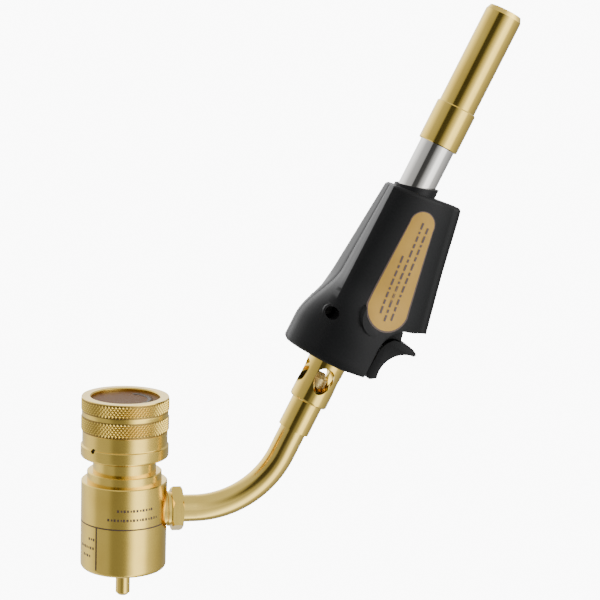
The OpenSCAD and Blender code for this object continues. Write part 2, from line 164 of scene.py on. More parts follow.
# Overhead the room is evenly bright
lift = sky.nodes.new("ShaderNodeMapRange")
lift.inputs["From Min"].default_value = 0.45
lift.inputs["From Max"].default_value = 0.85
sky.links.new(split.outputs["Z"], lift.inputs["Value"])
blend = sky.nodes.new("ShaderNodeMix")
blend.data_type = "RGBA"
sky.links.new(lift.outputs[0], blend.inputs["Factor"])
sky.links.new(walls.outputs["Result"], blend.inputs["A"])
blend.inputs["B"].default_value = (0.95, 0.95, 0.95, 1)
sky.links.new(blend.outputs["Result"], room.inputs["Color"])
room.inputs["Strength"].default_value = 1.0


def soft_box(name, place, size, power):
    data = bpy.data.lights.new(name, "AREA")
    data.shape = "RECTANGLE"
    data.size, data.size_y = size
    data.energy = power
    box = bpy.data.objects.new(name, data)
    bpy.context.collection.objects.link(box)
    box.location = place
    box.rotation_euler = (VIEW_TARGET - Vector(place)).to_track_quat("-Z", "Y").to_euler()
    box.visible_camera = False
    box.visible_glossy = False


soft_box("key_left", (-0.75, -0.75, 0.65), (0.5, 0.7), 7.0)
soft_box("fill_right", (0.85, -0.7, 0.5), (0.5, 0.7), 4.0)
soft_box("top", (0.05, 0.15, 0.95), (0.7, 0.7), 4.0)

FLOOR_SIZE, FLOOR_DROP = 12, 0.22             # metres; clears the burner turned straight down
bpy.ops.mesh.primitive_plane_add(size=FLOOR_SIZE)
floor = bpy.context.active_object
floor.name = "floor"
for vertex in floor.data.vertices:
    vertex.co.z = cad_box[0][2] - FLOOR_DROP
paper = bpy.data.materials.new("pale_floor")
paper.use_nodes = True
sheet_tree = paper.node_tree
sheet = sheet_tree.nodes["Principled BSDF"]
sheet.inputs["Base Color"].default_value = (0.9, 0.9, 0.9, 1)
sheet.inputs["Roughness"].default_value = 0.8
glow = sheet_tree.nodes.new("ShaderNodeEmission")
glow.inputs["Strength"].default_value = SWEEP_GLOW
seen = sheet_tree.nodes.new("ShaderNodeLightPath")
either = sheet_tree.nodes.new("ShaderNodeMixShader")
sheet_tree.links.new(seen.outputs["Is Camera Ray"], either.inputs[0])
sheet_tree.links.new(sheet.outputs[0], either.inputs[1])
sheet_tree.links.new(glow.outputs[0], either.inputs[2])
sheet_tree.links.new(either.outputs[0], sheet_tree.nodes["Material Output"].inputs["Surface"])
floor.data.materials.append(paper)
floor.visible_glossy = False

# ---- Regulator body and probe ----
# The body is turned from brass bar and polished, and fine lathe rings show on it.  It
# screws on the gas cylinder; the probe, screwed in under it, opens the cylinder's valve.
def value_group(name, inputs, outputs):
    """A shared shader group with named sockets, and its two ends."""
    group = bpy.data.node_groups.new(name, "ShaderNodeTree")
    for label, kind, value in inputs:
        socket = group.interface.new_socket(label, in_out="INPUT", socket_type=kind)
        if value is not None:
            socket.default_value = value
    for label, kind in outputs:
        group.interface.new_socket(label, in_out="OUTPUT", socket_type=kind)
    return group, group.nodes.new("NodeGroupInput"), group.nodes.new("NodeGroupOutput")


# Fine rings left by the lathe, or drawing lines, and a slow tarnish over both
turning, t_in, t_out = value_group(
    "turning_marks",
    [("Vector", "NodeSocketVector", None), ("Rings", "NodeSocketFloat", 9000.0),
     ("Across", "NodeSocketFloat", 60.0), ("Roughness", "NodeSocketFloat", 0.16),
     ("Spread", "NodeSocketFloat", 0.08), ("Base", "NodeSocketColor", None),
     ("Tarnish", "NodeSocketColor", None), ("Amount", "NodeSocketFloat", 0.5)],
    [("Color", "NodeSocketColor"), ("Roughness", "NodeSocketFloat"),
     ("Height", "NodeSocketFloat")])
parts, wires = turning.nodes, turning.links
scale = parts.new("ShaderNodeCombineXYZ")
wires.new(t_in.outputs["Across"], scale.inputs["X"])
wires.new(t_in.outputs["Across"], scale.inputs["Y"])
wires.new(t_in.outputs["Rings"], scale.inputs["Z"])
stretch = parts.new("ShaderNodeVectorMath")
stretch.operation = "MULTIPLY"
wires.new(t_in.outputs["Vector"], stretch.inputs[0])
wires.new(scale.outputs[0], stretch.inputs[1])
lines = parts.new("ShaderNodeTexNoise")
lines.inputs["Scale"].default_value = 1.0
lines.inputs["Detail"].default_value = 3.0
wires.new(stretch.outputs[0], lines.inputs["Vector"])
patches = parts.new("ShaderNodeTexNoise")
patches.inputs["Scale"].default_value = 70.0
patches.inputs["Detail"].default_value = 4.0
wires.new(t_in.outputs["Vector"], patches.inputs["Vector"])
rough = parts.new("ShaderNodeMath")
rough.operation = "MULTIPLY_ADD"
wires.new(lines.outputs["Fac"], rough.inputs[0])
wires.new(t_in.outputs["Spread"], rough.inputs[1])
wires.new(t_in.outputs["Roughness"], rough.inputs[2])
wires.new(rough.outputs[0], t_out.inputs["Roughness"])
wires.new(lines.outputs["Fac"], t_out.inputs["Height"])
spot = parts.new("ShaderNodeMapRange")
spot.inputs["From Min"].default_value = 0.45
spot.inputs["From Max"].default_value = 0.75
wires.new(patches.outputs["Fac"], spot.inputs["Value"])
dose = parts.new("ShaderNodeMath")
dose.operation = "MULTIPLY"
wires.new(spot.outputs[0], dose.inputs[0])
wires.new(t_in.outputs["Amount"], dose.inputs[1])
tint = parts.new("ShaderNodeMix")
tint.data_type = "RGBA"
wires.new(dose.outputs[0], tint.inputs["Factor"])
wires.new(t_in.outputs["Base"], tint.inputs["A"])
wires.new(t_in.outputs["Tarnish"], tint.inputs["B"])
wires.new(tint.outputs["Result"], t_out.inputs["Color"])


def metal(name, base, tarnish, roughness, spread=0.06, rings=9000.0, across=60.0,
          amount=0.5, bump=0.02, tip=0.0):
    """A metal whose lathe marks run round an axis tipped from Z towards X."""
    material = bpy.data.materials.new(name)
    material.use_nodes = True
    tree = material.node_tree
    shader = tree.nodes["Principled BSDF"]
    where = tree.nodes.new("ShaderNodeTexCoord")
    turn = tree.nodes.new("ShaderNodeMapping")
    turn.inputs["Rotation"].default_value = (0, -tip, 0)
    marks = tree.nodes.new("ShaderNodeGroup")
    marks.node_tree = turning
    tree.links.new(where.outputs["Object"], turn.inputs["Vector"])
    tree.links.new(turn.outputs["Vector"], marks.inputs["Vector"])
    marks.inputs["Rings"].default_value = rings
    marks.inputs["Across"].default_value = across
    marks.inputs["Roughness"].default_value = roughness
    marks.inputs["Spread"].default_value = spread
    marks.inputs["Base"].default_value = (*base, 1)
    marks.inputs["Tarnish"].default_value = (*tarnish, 1)
    marks.inputs["Amount"].default_value = amount
    shader.inputs["Metallic"].default_value = 1.0
    tree.links.new(marks.outputs["Color"], shader.inputs["Base Color"])
    tree.links.new(marks.outputs["Roughness"], shader.inputs["Roughness"])
    relief = tree.nodes.new("ShaderNodeBump")
    relief.inputs["Strength"].default_value = bump
    relief.inputs["Distance"].default_value = 0.0002
    tree.links.new(marks.outputs["Height"], relief.inputs["Height"])
    tree.links.new(relief.outputs["Normal"], shader.inputs["Normal"])
    return material


def dress(name, material):
    """Gives a solid that is kept as it is its finish."""
    mesh = nodes[name].data
    mesh.materials.clear()
    mesh.materials.append(material)


BRASS = (0.84, 0.60, 0.125)
BRASS_DULL = (0.66, 0.43, 0.075)
brass_turned = metal("turned_brass", BRASS, BRASS_DULL, 0.19, rings=5200, bump=0.10)
for name in ("regulator_body", "inlet_probe"):
    dress(name, brass_turned)

# ---- Cylinder thread ----
# The 1 inch - 20 thread cut in the body's socket: one ridge that winds up its wall,
# five turns of it, left bright by the tap.
MM = 0.001


def new_piece(name, bm, frame_matrix=None, smooth_angle=30):
    """A mesh object at the origin, its place in its mesh, shaded smooth by angle."""
    bmesh.ops.recalc_face_normals(bm, faces=bm.faces)
    if frame_matrix is not None:
        bmesh.ops.transform(bm, matrix=frame_matrix, verts=bm.verts)
    mesh = bpy.data.meshes.new(name)
    bm.to_mesh(mesh)
    bm.free()
    piece = bpy.data.objects.new(name, mesh)
    bpy.context.collection.objects.link(piece)
    mesh.shade_smooth()
    mesh.set_sharp_from_angle(angle=math.radians(smooth_angle))
    return piece


THREAD_PITCH = 1.27 * MM
thread = bmesh.new()
SOCKET_LOW = 1.0 * MM
SOCKET_TURNS = 5.2
TURN_STEPS = 96
RIDGE = [(12.72, -0.5), (12.1, -0.08), (12.1, 0.08), (12.72, 0.5)]   # radius, height
rim = []
count = int(SOCKET_TURNS * TURN_STEPS)
for i in range(count + 1):
    way = 2 * math.pi * i / TURN_STEPS
    z = SOCKET_LOW + THREAD_PITCH * i / TURN_STEPS
    row = []
    for radius, dz in RIDGE:
        row.append(thread.verts.new((radius * MM * math.cos(way), radius * MM * math.sin(way),
                                     z + dz * MM)))
    rim.append(row)
for a, b in zip(rim, rim[1:]):
    for i in range(len(RIDGE)):
        j = (i + 1) % len(RIDGE)
        thread.faces.new((a[i], b[i], b[j], a[j]))
thread.faces.new(rim[0])
thread.faces.new(rim[-1][::-1])
thread_piece = new_piece("socket_thread", thread)
thread_piece.data.materials.append(
    metal("polished_brass", BRASS, BRASS_DULL, 0.10, rings=2500, bump=0.03))
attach(thread_piece, "regulator")

# ---- Engraving on the regulator ----
# A line is cut round the near side and blacked, with a short one down from it.  Rows
# of plain dashes are stamped in where a maker puts approval marks.
BODY_R = 15.0
LINE_Z, LINE_FIRST, LINE_LAST, LINE_STEP = 17.5, 180, 326, 2
LINE_WIDTH = 0.42
dash_bm = bmesh.new()


def dull(name, color, roughness, grain, bump, gloss=0.5):
    """Moulded rubber, plastic or glazed clay: plain colour with a fine grain."""
    material = bpy.data.materials.new(name)
    material.use_nodes = True
    tree = material.node_tree
    shader = tree.nodes["Principled BSDF"]
    shader.inputs["Specular IOR Level"].default_value = gloss
    where = tree.nodes.new("ShaderNodeTexCoord")
    noise = tree.nodes.new("ShaderNodeTexNoise")
    noise.inputs["Scale"].default_value = grain
    noise.inputs["Detail"].default_value = 3.0
    tree.links.new(where.outputs["Object"], noise.inputs["Vector"])
    shade = tree.nodes.new("ShaderNodeMix")
    shade.data_type = "RGBA"
    shade.inputs["A"].default_value = (*color, 1)
    shade.inputs["B"].default_value = (*[c * 1.35 + 0.001 for c in color], 1)
    tree.links.new(noise.outputs["Fac"], shade.inputs["Factor"])
    tree.links.new(shade.outputs["Result"], shader.inputs["Base Color"])
    finish = tree.nodes.new("ShaderNodeMapRange")
    finish.inputs["To Min"].default_value = roughness - 0.06
    finish.inputs["To Max"].default_value = roughness + 0.06
    tree.links.new(noise.outputs["Fac"], finish.inputs["Value"])
    tree.links.new(finish.outputs[0], shader.inputs["Roughness"])
    relief = tree.nodes.new("ShaderNodeBump")
    relief.inputs["Strength"].default_value = bump
    relief.inputs["Distance"].default_value = 0.0001
    tree.links.new(noise.outputs["Fac"], relief.inputs["Height"])
    tree.links.new(relief.outputs["Normal"], shader.inputs["Normal"])
    return material


def body_dash(way, z, length, height, radius=BODY_R + 0.02):
    """A dash wrapped on the body, centred on a direction and a height."""
    half = length / radius / 2
    corners = []
    for a in (way - half, way + half):
        for dz in (-height / 2, height / 2):
            corners.append(dash_bm.verts.new((radius * MM * math.cos(a),
                                              radius * MM * math.sin(a), (z + dz) * MM)))
    dash_bm.faces.new((corners[0], corners[2], corners[3], corners[1]))


for degrees in range(LINE_FIRST, LINE_LAST, LINE_STEP):
    body_dash(math.radians(degrees), LINE_Z, BODY_R * math.radians(LINE_STEP), LINE_WIDTH,
              BODY_R)
body_dash(math.radians(225), 9.7, 0.52, 15.2)
# Each dash as length and height, and each row as height and first and last angle
DASHES = [(0.75, 0.9), (0.6, 0.7), (0.75, 0.95), (0.65, 0.85), (0.5, 0.7), (0.75, 0.95)]
DASH_GAP = 0.45
for row_z, first, last in ((24.2, -104, -56), (20.9, -117, -48), (12.8, -148, -139),
                           (9.6, -166, -140), (6.6, -160, -146)):
    way = first
    index = 0
    while way < last:
        length, height = DASHES[index % len(DASHES)]
        body_dash(math.radians(way), row_z, length, height)
        way += math.degrees((length + DASH_GAP) / BODY_R)
        index += 1
ink = dull("dark_ink", (0.035, 0.018, 0.010), 0.5, 1500.0, 0.05)
dashes = new_piece("body_dashes", dash_bm)
dashes.data.materials.append(ink)
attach(dashes, "regulator")

# ---- Socket seal and filter ----
# A rubber ring at the socket's floor seals on the cylinder's rim.  Over the probe a
# small plug of sintered bronze keeps dirt out of the valve.
rubber = dull("black_rubber", (0.018, 0.018, 0.018), 0.6, 1500.0, 0.3)
dress("socket_seal", rubber)
dress("inlet_filter", metal("sintered_bronze", (0.42, 0.26, 0.11), (0.3, 0.18, 0.08), 0.5,
                            rings=2500, across=2500.0, bump=0.6))

# ---- Regulator valve ----
# A steel poppet closes on a screwed brass seat, pushed up by a small wire spring.
brass_inside = metal("machined_brass", (0.72, 0.50, 0.14), BRASS_DULL, 0.28, bump=0.15)
dress("valve_seat", brass_inside)
STEEL = (0.72, 0.70, 0.66)
STEEL_DULL = (0.62, 0.59, 0.55)
steel_bright = metal("bright_steel", STEEL, STEEL_DULL, 0.2, bump=0.05)
dress("valve_poppet", steel_bright)
spring_wire = metal("spring_wire", (0.5, 0.5, 0.5), (0.35, 0.34, 0.33), 0.3, rings=800)


def pressed_coil(name, body):
    """A copy of a spring in wire finish, attached to a body in place of the original."""
    spring = nodes[name].copy()
    spring.data = nodes[name].data.copy()
    spring.name = name + "_coil"
    bpy.context.collection.objects.link(spring)
    spring.data.materials.clear()
    spring.data.materials.append(spring_wire)
    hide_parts(name)
    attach(spring, body)
    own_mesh(spring)


pressed_coil("poppet_spring", "regulator")

# ---- Diaphragm ----
# A disc of rubber clamped between body and bonnet feels the gas pressure.  A steel
# plate on it passes its lift to the poppet and carries the regulating spring.
dress("diaphragm", rubber)
dress("diaphragm_plate", steel_bright)

# ---- Regulating spring ----
# The knob's steel stem presses a button on this spring, and the spring presses on the
# diaphragm's plate, which sets the gas pressure.
pressed_coil("regulating_spring", "regulator")
for name in ("spring_button", "knob_stem"):
    dress(name, steel_bright)

# ---- Bonnet ----
# The brass collar screwed down over the diaphragm, turned in one piece with the neck
# that guides the knob.
dress("bonnet", brass_turned)

# ---- Knob ----
# Turned from brass bar, with two bands of diamond knurl pressed in.  The pin through
# its skirt, of blackened steel, runs in a groove of the neck and keeps the knob on.
knob_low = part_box("knob")[0]
KNURL_DEPTH = 0.28 * MM
BANDS = [(9.5, 14.95), (16.4, 21.1)]          # knurled stretches, mm above the lower edge
STUD_R = 14.97                                # where the studs stand, just in the wall
# Radius and height up the outside and down into the dish, from the lower edge
PROFILE = [(11.3, 0.0), (14.3, 0.0), (14.69, 0.08), (15.02, 0.3), (15.22, 0.62),
           (15.3, 1.0), (15.3, 4.2), (15.18, 4.36), (14.88, 4.5), (14.8, 4.66),
           (14.8, 9.3), (14.98, 9.5), (14.98, 14.95), (15.0, 15.1), (15.0, 16.25),
           (14.98, 16.4), (14.98, 21.0), (15.15, 21.12), (15.0, 21.4), (12.3, 21.4),
           (11.95, 21.1), (11.9, 21.0), (11.9, 19.4), (3.9, 19.4), (3.9, 10.5),
           (11.3, 10.5)]


def lathe(points, steps, z_base):
    """A closed ring turned from (radius, height) points in mm round the Z axis."""
    bm = bmesh.new()
    rows = []
    for radius, height in points:
        rows.append([bm.verts.new((radius * MM * math.cos(2 * math.pi * i / steps),
                                   radius * MM * math.sin(2 * math.pi * i / steps),
                                   z_base + height * MM)) for i in range(steps)])
    for a, b in zip(rows, rows[1:] + rows[:1]):
        for i in range(steps):
            j = (i + 1) % steps
            bm.faces.new((a[i], a[j], b[j], b[i]))
    return bm


KNOB_STEPS = 160
knob = new_piece("knob_shell", lathe(PROFILE, KNOB_STEPS, knob_low[2]), smooth_angle=24)
knob.data.materials.append(brass_turned)
# The wall under the studs gets a dark brown metal: painted shade in the grooves between the
# studs
knurl_groove_painted_shade = metal("knurl_groove_painted_shade", (0.26, 0.17, 0.05), (0.2, 0.12, 0.03), 0.35)
knob.data.materials.append(knurl_groove_painted_shade)
# Faces of the knurled bands, under the studs, take the painted shade
for face in knob.data.polygons:
    radius = math.hypot(face.center.x, face.center.y) / MM
    height = (face.center.z - knob_low[2]) / MM
    if 14.9 < radius < 14.99 and any(low < height < high for low, high in BANDS):
        face.material_index = 1

# The pin's hole, bored through the skirt
PIN_HOLE_R = 0.85 * MM
black_steel = metal("blackened_steel", (0.05, 0.048, 0.045), (0.03, 0.03, 0.03), 0.4)
dress("knob_pin", black_steel)
pin_low, pin_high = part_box("knob_pin")
pin_middle = Vector([(a + b) / 2 for a, b in zip(pin_low, pin_high)])
pin_way = Vector((pin_middle.x, pin_middle.y, 0)).normalized()
drill = bmesh.new()
bmesh.ops.create_cone(drill, cap_ends=True, segments=32, radius1=PIN_HOLE_R,
                      radius2=PIN_HOLE_R, depth=8 * MM)
drill_turn = pin_way.to_track_quat("Z", "Y").to_matrix().to_4x4()
drill_turn.translation = pin_way * 14 * MM + Vector((0, 0, pin_middle.z))
cutter = new_piece("drill", drill, drill_turn)


def cut(piece, tool, kind="DIFFERENCE"):
    """Applies one boolean and removes the tool."""
    step = piece.modifiers.new("cut", "BOOLEAN")
    step.operation = kind
    step.solver = "EXACT"
    step.object = tool
    bake(piece)
    bpy.data.objects.remove(tool)


def bake(piece):
    """Applies every modifier on a piece."""
    depsgraph = bpy.context.evaluated_depsgraph_get()
    mesh = bpy.data.meshes.new_from_object(piece.evaluated_get(depsgraph))
    piece.modifiers.clear()
    piece.data = mesh


cut(knob, cutter)
knob.data.set_sharp_from_angle(angle=math.radians(24))
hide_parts("knob")
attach(knob, "knob")

# One stud of the knurl: a low pyramid on a diamond base
stud_bm = bmesh.new()
KNURL_COUNT = 76
stud_w = 2 * math.pi * 14.98 / KNURL_COUNT * MM
stud_h = 1.5 * MM
STUD_FILL = 0.86                              # the rest is the groove between studs
corners = [stud_bm.verts.new((0, y * STUD_FILL, z * STUD_FILL)) for y, z in (
    (-stud_w / 2, 0), (0, -stud_h / 2), (stud_w / 2, 0), (0, stud_h / 2))]
PEAK = 0.35                                   # a stud's flat top, as a share of its base
peaks = [stud_bm.verts.new((KNURL_DEPTH, c.co.y * PEAK, c.co.z * PEAK)) for c in corners]
for i in range(4):
    j = (i + 1) % 4
    stud_bm.faces.new((corners[i], corners[j], peaks[j], peaks[i]))
stud_bm.faces.new(peaks)
stud_bm.faces.new(corners)
stud = new_piece("stud", stud_bm, smooth_angle=1)


def knurl_tree():
    """Studs on staggered rows round a band, as one mesh."""
    tree = bpy.data.node_groups.new("knurl_band", "GeometryNodeTree")
    tree.interface.new_socket("Geometry", in_out="INPUT", socket_type="NodeSocketGeometry")
    for label, kind in (("Radius", "NodeSocketFloat"), ("Base", "NodeSocketFloat"),
                        ("Row height", "NodeSocketFloat"), ("Count", "NodeSocketInt"),
                        ("Rows", "NodeSocketInt"), ("Stud", "NodeSocketObject"),
                        ("Finish", "NodeSocketMaterial")):
        tree.interface.new_socket(label, in_out="INPUT", socket_type=kind)
    tree.interface.new_socket("Geometry", in_out="OUTPUT", socket_type="NodeSocketGeometry")
    n, link = tree.nodes, tree.links
    given, result = n.new("NodeGroupInput"), n.new("NodeGroupOutput")

    def math_node(kind, a, b=None, c=None):
        node = n.new("ShaderNodeMath")
        node.operation = kind
        for slot, value in enumerate((a, b, c)):
            if value is None:
                continue
            if isinstance(value, (int, float)):
                node.inputs[slot].default_value = value
            else:
                link.new(value, node.inputs[slot])
        return node.outputs[0]

    total = math_node("MULTIPLY", given.outputs["Count"], given.outputs["Rows"])
    points = n.new("GeometryNodePoints")
    link.new(total, points.inputs["Count"])
    index = n.new("GeometryNodeInputIndex").outputs[0]
    row = math_node("FLOOR", math_node("DIVIDE", index, given.outputs["Count"]))
    column = math_node("MODULO", index, given.outputs["Count"])
    shift = math_node("MULTIPLY", math_node("MODULO", row, 2.0), 0.5)
    part = math_node("DIVIDE", math_node("ADD", column, shift), given.outputs["Count"])
    turn = math_node("MULTIPLY", part, 2 * math.pi)
    spot = n.new("ShaderNodeCombineXYZ")
    link.new(math_node("MULTIPLY", math_node("COSINE", turn), given.outputs["Radius"]),
             spot.inputs["X"])
    link.new(math_node("MULTIPLY", math_node("SINE", turn), given.outputs["Radius"]),
             spot.inputs["Y"])
    link.new(math_node("MULTIPLY_ADD", row, given.outputs["Row height"],
                       given.outputs["Base"]), spot.inputs["Z"])
    link.new(spot.outputs[0], points.inputs["Position"])
    facing = n.new("ShaderNodeCombineXYZ")
    link.new(turn, facing.inputs["Z"])
    info = n.new("GeometryNodeObjectInfo")
    link.new(given.outputs["Stud"], info.inputs["Object"])
    place = n.new("GeometryNodeInstanceOnPoints")
    link.new(points.outputs[0], place.inputs["Points"])
    link.new(info.outputs["Geometry"], place.inputs["Instance"])
    link.new(facing.outputs[0], place.inputs["Rotation"])
    whole = n.new("GeometryNodeRealizeInstances")
    link.new(place.outputs[0], whole.inputs[0])
    finish = n.new("GeometryNodeSetMaterial")
    link.new(whole.outputs[0], finish.inputs["Geometry"])
    link.new(given.outputs["Finish"], finish.inputs["Material"])
    link.new(finish.outputs[0], result.inputs[0])
    return tree


knurling = knurl_tree()
for number, (low, high) in enumerate(BANDS):
    rows = int((high - low) * MM / (stud_h / 2)) - 1
    spare = (high - low) * MM - (rows - 1) * stud_h / 2
    band = new_piece(f"knurl_band_{number + 1}", bmesh.new())
    grower = band.modifiers.new("knurl", "NODES")
    grower.node_group = knurling
    values = {"Radius": STUD_R * MM, "Base": knob_low[2] + low * MM + spare / 2,
              "Row height": stud_h / 2, "Count": KNURL_COUNT, "Rows": rows,
              "Stud": stud, "Finish": brass_turned}
    for item in knurling.interface.items_tree:
        if item.item_type == "SOCKET" and item.in_out == "INPUT" and item.name in values:
            grower[item.identifier] = values[item.name]
    bake(band)
    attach(band, "knob")
bpy.data.objects.remove(stud)

# ---- Knob dial ----
# A disc of bronze with a brown coat, pressed in the knob's dish and printed with one
# curved arrow that widens towards its head.
dial_brown = dull("brown_dial", (0.075, 0.030, 0.006), 0.5, 1200.0, 0.1, 0.12)
dress("knob_dial", dial_brown)
ARROW_R = 8.6 * MM
ink_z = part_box("knob_dial")[1][2] + 0.04 * MM
arrow = bmesh.new()
ARROW_START, ARROW_END = math.radians(-62), math.radians(52)
ARROW_STEPS = 28
inner, outer = [], []
for i in range(ARROW_STEPS + 1):
    t = i / ARROW_STEPS
    way = ARROW_START + (ARROW_END - ARROW_START) * t
    thick = (0.55 + 0.75 * t) * MM
    for ring, radius in ((inner, ARROW_R - thick), (outer, ARROW_R + thick)):
        ring.append(arrow.verts.new((radius * math.cos(way), radius * math.sin(way),
                                     ink_z)))
for i in range(ARROW_STEPS):
    arrow.faces.new((inner[i], outer[i], outer[i + 1], inner[i + 1]))
head_way = ARROW_END + math.radians(16)
HEAD_HALF = 2.2 * MM
head = [arrow.verts.new((r * math.cos(w), r * math.sin(w), ink_z)) for r, w in (
    (ARROW_R - HEAD_HALF, ARROW_END), (ARROW_R + HEAD_HALF, ARROW_END), (ARROW_R, head_way))]
arrow.faces.new(head)
arrow_piece = new_piece("dial_arrow", arrow)
arrow_piece.data.materials.append(ink)
thicken = arrow_piece.modifiers.new("ink", "SOLIDIFY")
thicken.thickness = 0.03 * MM
bake(arrow_piece)
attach(arrow_piece, "knob")

# ---- Swivel outlet and bent tube ----
# A brass nipple screwed in the body holds the tube's brazed collar on a rubber ring,
# under a hexagon union nut.  The tube is drawn brass, bent once and left bright.
brass_fitting = metal("fitting_brass", BRASS, BRASS_DULL, 0.13, rings=3000, bump=0.04,
                      tip=math.pi / 2)
for name in ("outlet_nipple", "union_nut"):
    dress(name, brass_fitting)
dress("swivel_seal", rubber)
dress("swivel_collar", brass_inside)
dress("bent_tube", metal("drawn_brass", (0.83, 0.60, 0.14), BRASS_DULL, 0.12, rings=90.0,
                         across=90.0, bump=0.05))

# ---- Jet, mixer and burner ----
# A turned sleeve with the jet, the mixer with its air holes, the collar and the tip are
# brass, brazed in line.  The burn tube between mixer and collar is drawn steel.
mounts = {m["name"]: m for m in frame["record"]["mounts"]}
burner_axis = Vector(mounts["burner_tip"]["axis"]).normalized()
LEAN = math.atan2(burner_axis.x, burner_axis.z)
brass_leaned = metal("burner_brass", BRASS, BRASS_DULL, 0.10, rings=3500, bump=0.04,
                     tip=LEAN)
for name in ("orifice_sleeve", "mixer_body", "burner_collar", "burner_tip"):
    dress(name, brass_leaned)
brass_jet = metal("jet_brass", (0.85, 0.66, 0.27), (0.65, 0.45, 0.14), 0.34, rings=4000,
                  bump=0.3, tip=LEAN)
brass_jet.node_tree.nodes["Principled BSDF"].inputs["Metallic"].default_value = 0.55
dress("jet_nozzle", brass_jet)
dress("burn_tube", metal("drawn_steel", STEEL, STEEL_DULL, 0.07, rings=3500, bump=0.04,
                         tip=LEAN))
dress("flame_holder", brass_inside)

# ---- Spark line ----
# The piezo in its plastic case, struck by a cream plunger, feeds a rubber-covered lead
# and a steel electrode, which a tube of glazed clay keeps clear of the burner.
dress("electrode_insulator", dull("white_ceramic", (0.8, 0.78, 0.72), 0.25, 900.0, 0.05))
dress("spark_electrode", steel_bright)
dress("ignition_lead", rubber)
plastic = dull("black_plastic", (0.0045, 0.0045, 0.0047), 0.34, 2600.0, 0.10, 0.13)
dress("piezo_case", plastic)
dress("piezo_plunger", dull("cream_plastic", (0.68, 0.63, 0.5), 0.4, 1200.0, 0.1))

# ---- Igniter housing ----
# Two shells of black moulded plastic, held by two blackened screws round mixer and burn
# tube.  Sections up the burner axis turn from a round bell into a wedge with a flat back.
dress("housing_screws", black_steel)
# The housing's own frame: X to its front, Y across it, Z up the burner, from its foot.
# Its sizes are in mm: v or the first value along X, u or the second one along Z.
front_axis = Vector((burner_axis.z, 0, -burner_axis.x))
tip_middle = Vector(mounts["burner_tip"]["pos_m"])
case_foot = min(burner_axis.dot(Vector(v.co) - tip_middle)
                for v in nodes["housing_near"].data.vertices)
case_frame = Matrix((front_axis, Vector((0, 1, 0)), burner_axis)).transposed().to_4x4()
case_frame.translation = tip_middle + burner_axis * case_foot
CASE_H = 65.2
BELL_R = 18.0
BELL_SPREAD = math.radians(50)                # half the angle of the bell's round back
BELL_TOP, WEDGE_FROM = 9, 31                  # where the bell starts and ends turning
# The wedge at its foot and at its top: back, front, and half widths of both and between
BACK, FRONT = (-12.0, -9.1), (30.0, 17.1)
BACK_HALF, SIDE_HALF, FRONT_HALF = (15.0, 5.9), (16.9, 8.6), (12.0, 6.2)
FRONT_CORNER = 3.0
SECTION_STEPS, CORNER_STEPS, CASE_ROWS = 30, 5, 44
TOP_RISE, RIM_RISE = 2.9, 1.2                 # how the top and the foot slope to the front
LOW_ROUND, TOP_ROUND = 1.3, 0.9               # heights of the rounded rims
WALL = 2.0


def mix(a, b, t):
    return a + (b - a) * t


def smooth(t):
    """Eases from 0 to 1, and stays there outside that range."""
    t = max(0.0, min(1.0, t))
    return t * t * (3 - 2 * t)


def bezier(a, b, c, d, t):
    """The point at t on the curve from a to d, pulled by b and c."""
    return tuple(p * (1 - t) ** 3 + 3 * q * t * (1 - t) ** 2 + 3 * r * t * t * (1 - t)
                 + s * t ** 3 for p, q, r, s in zip(a, b, c, d))


def half_section(u, inset):
    """The outline from the middle of the back to the middle of the front, in mm."""
    t = u / CASE_H
    vb = mix(*BACK, t) + inset
    wb = mix(*BACK_HALF, t) - inset * 0.8
    ws = mix(*SIDE_HALF, t) - inset
    vf = mix(*FRONT, t) - inset
    wf = mix(*FRONT_HALF, t) - inset
    corner = FRONT_CORNER
    wedge = [(vb, 0), (vb, wb * 0.34), (vb, wb * 0.67)]
    wedge += [bezier((vb, wb), (vb + 4, ws + 2.0), (vf - 11, ws + 1.8), (vf - corner, wf),
                     i / SECTION_STEPS) for i in range(SECTION_STEPS + 1)]
    r = BELL_R - inset
    bell = [(-r * math.cos(a * BELL_SPREAD), r * math.sin(a * BELL_SPREAD))
            for a in (0, 0.34, 0.67)]
    side = (-r * math.cos(BELL_SPREAD), r * math.sin(BELL_SPREAD))
    bell += [bezier(side, (side[0] + 7.5, side[1] + 6.0), (vf - 17, r + 1.0),
                    (vf - corner, wf), i / SECTION_STEPS)
             for i in range(SECTION_STEPS + 1)]
    blend = smooth((u - BELL_TOP) / (WEDGE_FROM - BELL_TOP))
    line = [tuple(mix(p, q, blend) for p, q in zip(a, b)) for a, b in zip(bell, wedge)]
    for i in range(1, CORNER_STEPS + 1):
        a = math.radians(90 * (1 - i / CORNER_STEPS))
        line.append((vf - corner + corner * math.cos(a), wf - corner * 0.8
                     + corner * 0.8 * math.sin(a)))
    line.append((vf, 0))
    return line


